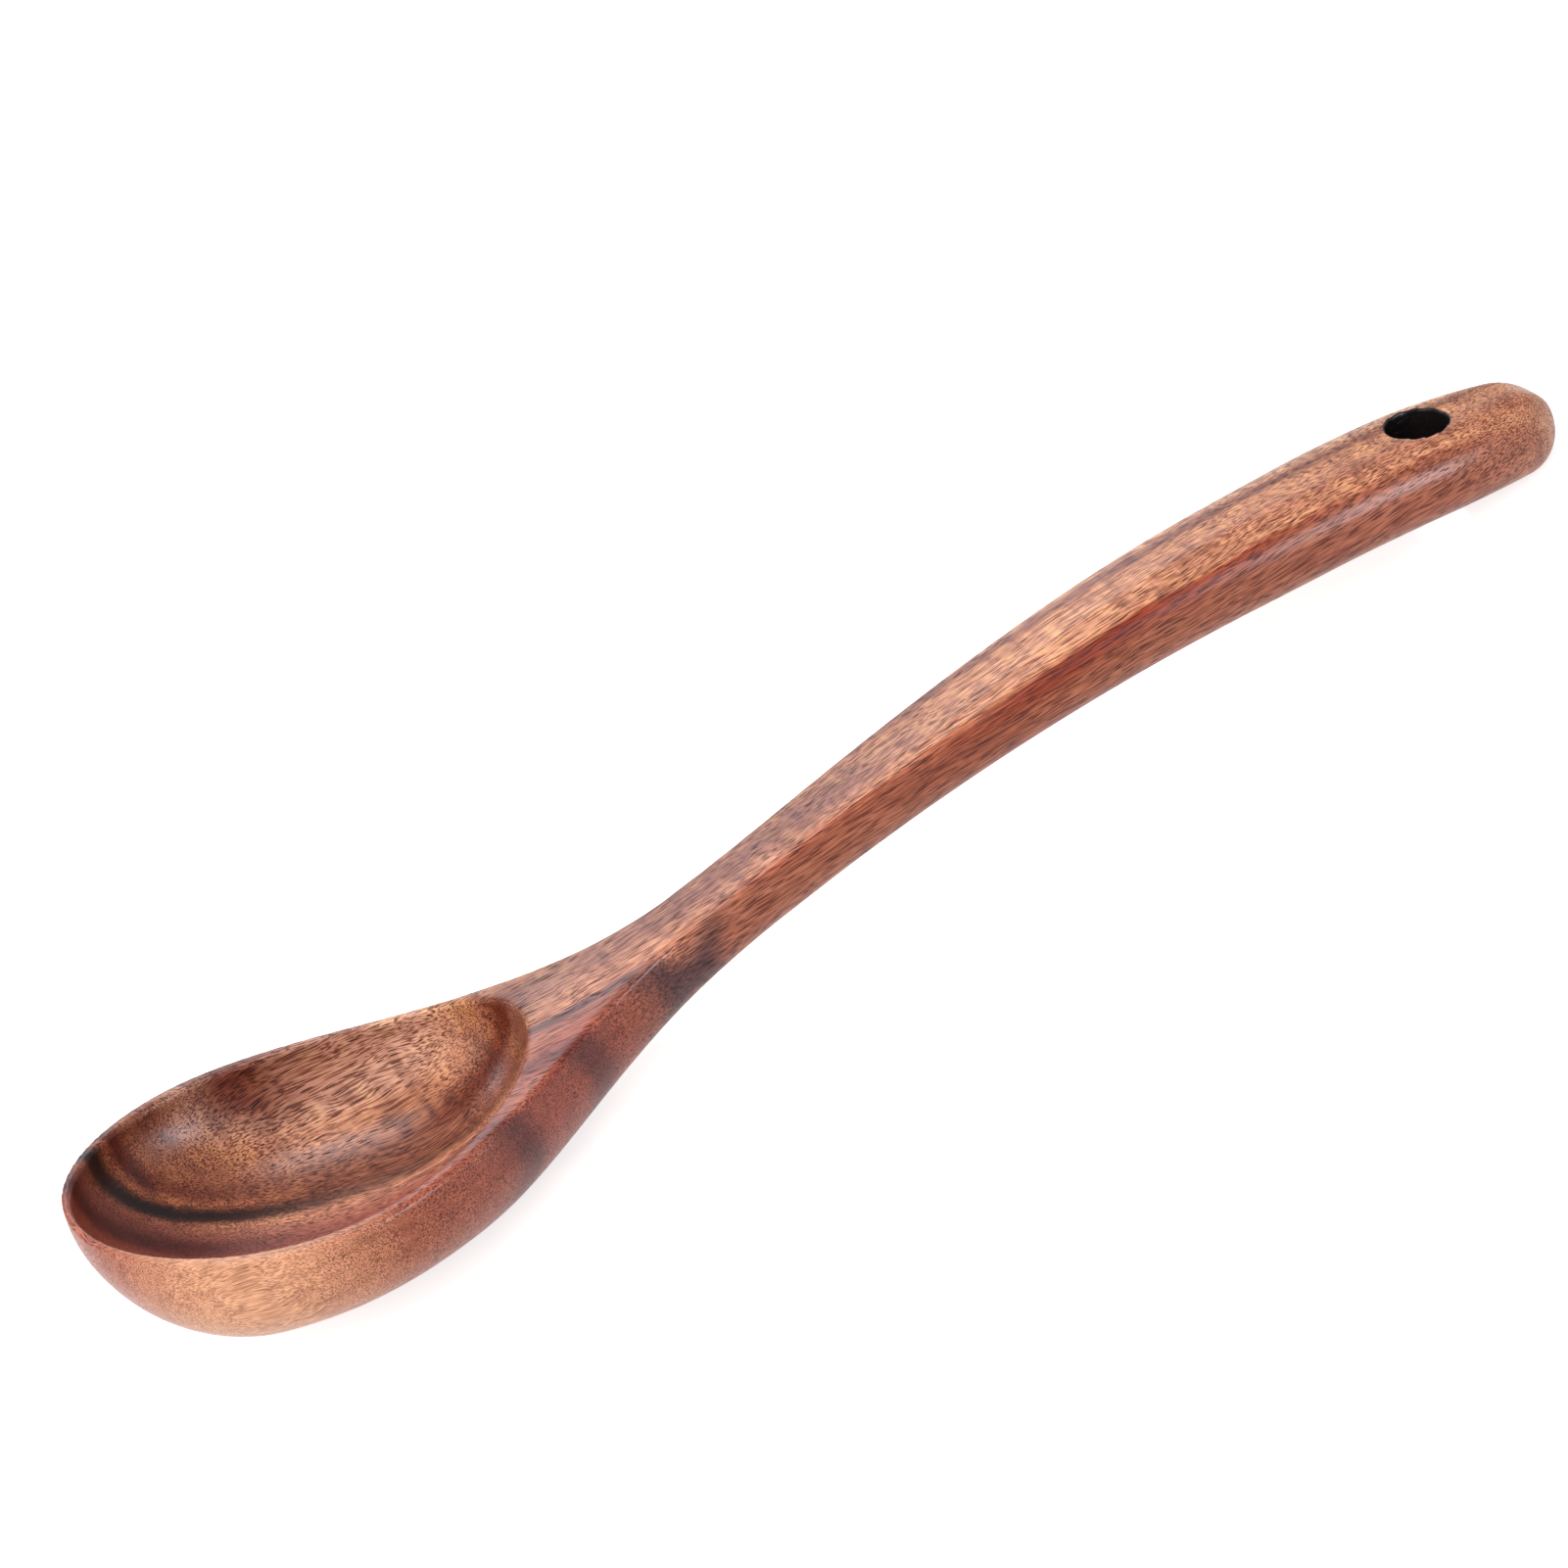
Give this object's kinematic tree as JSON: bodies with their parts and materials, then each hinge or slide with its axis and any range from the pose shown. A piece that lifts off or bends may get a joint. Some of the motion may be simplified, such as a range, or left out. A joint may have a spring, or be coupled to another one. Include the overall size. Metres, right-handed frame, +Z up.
{
  "type": "wooden spoon",
  "caption": "Wooden cooking spoon carved from one board: deep egg-shaped bowl, slim neck, arched handle with rounded edges and a hanging hole near its end.",
  "frame": {"origin": "middle of the bounding box on the table that the spoon lies on", "axes": "+X from the bowl towards the end of the handle, +Y across the spoon, +Z up, with the bowl's mouth facing up"},
  "size_m": [0.3188, 0.07, 0.0394],
  "materials": {
    "wood": "satin, oiled or lacquered, red-brown with dark streaks along the grain"
  },
  "bodies": {
    "root": {"spoon": "wood"}
  },
  "joints": []
}
